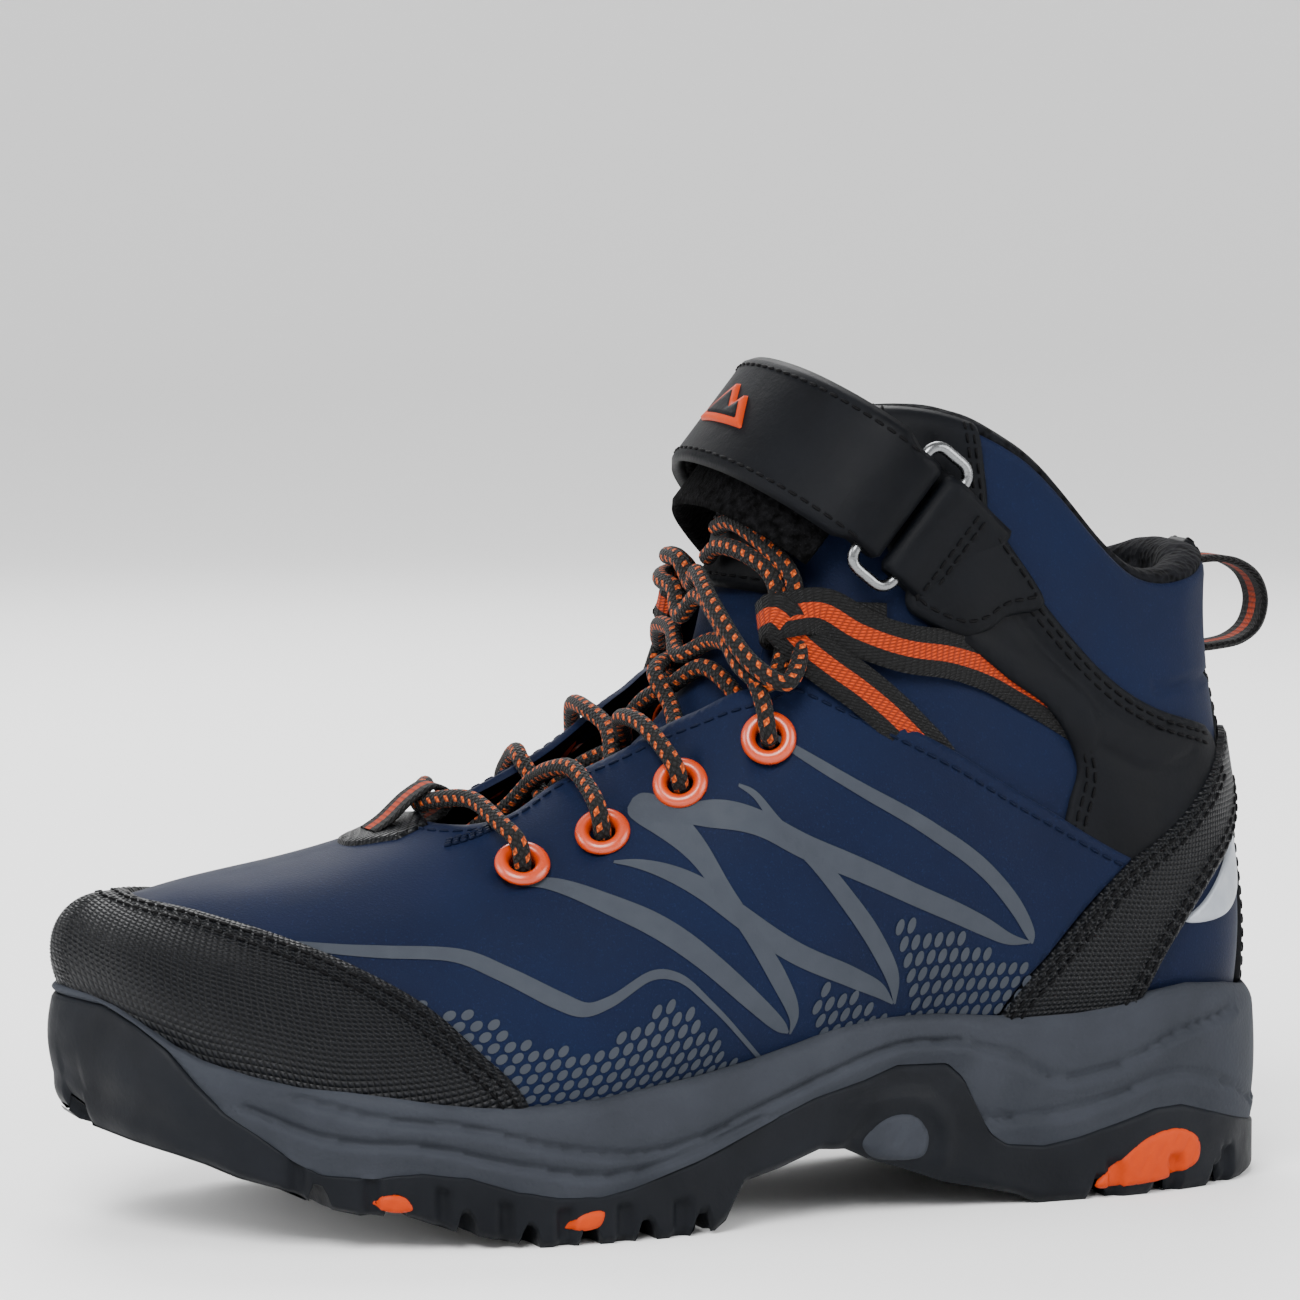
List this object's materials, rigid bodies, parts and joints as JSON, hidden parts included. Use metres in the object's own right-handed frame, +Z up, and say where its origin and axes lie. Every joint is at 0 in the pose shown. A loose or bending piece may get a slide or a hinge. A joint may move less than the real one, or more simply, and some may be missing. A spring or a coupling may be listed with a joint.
{
  "type": "hiking boot",
  "caption": "Left child's mid-height hiking boot with a lace, eyelets, webbing loops, a lugged sole, a toe cap and a hook-and-loop ankle strap through a metal ring.",
  "frame": {"origin": "centre of the boot's bounding box, on the ground under the sole", "axes": "-X towards the toe, -Y towards the wearer's outer side, +Z up"},
  "size_m": [0.2324, 0.0926, 0.1529],
  "materials": {
    "rubber": "matte near-black rubber with a fine moulded grain",
    "foam": "matte mid-grey foam with carved grooves",
    "steel": "bright bent wire",
    "window_grey": "matte grey rubber",
    "orange_rubber": "satin orange rubber",
    "board": "fibre board",
    "lining_cloth": "black mesh and brushed loop cloth",
    "navy_cloth": "navy softshell with a fine grain",
    "black_synthetic": "black nubuck-like synthetic with dashed stitching",
    "textured_synthetic": "black synthetic embossed with small pyramids",
    "reflector": "light grey reflective film",
    "eyelet_plastic": "glossy moulded orange",
    "webbing": "black woven webbing with an orange centre stripe",
    "lace": "round black braid with orange flecks"
  },
  "bodies": {
    "root": {"outsole": "rubber", "midsole": "foam", "shank": "steel", "shank_insert_outer": "window_grey", "shank_insert_inner": "window_grey", "heel_insert_outer": "orange_rubber", "heel_insert_inner": "orange_rubber", "forefoot_insert_rear_outer": "orange_rubber", "forefoot_insert_rear_inner": "orange_rubber", "forefoot_insert_front_outer": "orange_rubber", "forefoot_insert_front_inner": "orange_rubber", "insole_board": "board", "heel_counter": "board", "toe_puff": "board", "footbed": "lining_cloth", "quarter_lining": "lining_cloth", "collar_foam": "lining_cloth", "vamp_lining": "lining_cloth", "strap_base": "lining_cloth", "quarter_outer": "navy_cloth", "quarter_inner": "navy_cloth", "vamp": "navy_cloth", "side_panel_outer": "navy_cloth", "side_panel_inner": "navy_cloth", "tongue": "navy_cloth", "ankle_overlay_outer": "black_synthetic", "ankle_overlay_inner": "black_synthetic", "backstay": "black_synthetic", "lace_keeper": "black_synthetic", "ring_tab": "black_synthetic", "strap_anchor": "black_synthetic", "heel_strap_outer": "textured_synthetic", "heel_strap_inner": "textured_synthetic", "toe_cap": "textured_synthetic", "heel_reflector_outer": "reflector", "heel_reflector_inner": "reflector", "eyelet_outer_1": "eyelet_plastic", "eyelet_outer_2": "eyelet_plastic", "eyelet_outer_3": "eyelet_plastic", "eyelet_outer_4": "eyelet_plastic", "eyelet_inner_1": "eyelet_plastic", "eyelet_inner_2": "eyelet_plastic", "eyelet_inner_3": "eyelet_plastic", "eyelet_inner_4": "eyelet_plastic", "webbing_loop_outer": "webbing", "webbing_loop_inner": "webbing", "toe_loop": "webbing", "pull_loop": "webbing", "lace": "lace"},
    "ring": {"strap_ring": "steel"},
    "flap": {"strap_flap": "black_synthetic", "hook_pad": "lining_cloth", "strap_badge": "orange_rubber"}
  },
  "joints": [
    {"name": "ring_swing", "type": "hinge", "parent": "root", "child": "ring", "pos_m": [0.03521, -0.03305, 0.12215], "axis": [0.6288, 0, 0.7776], "range_deg": [0, 60]},
    {"name": "strap_peel", "type": "hinge", "parent": "ring", "child": "flap", "pos_m": [0.02805, -0.03305, 0.12794], "axis": [0.6288, 0, 0.7776], "range_deg": [0, 120]}
  ]
}
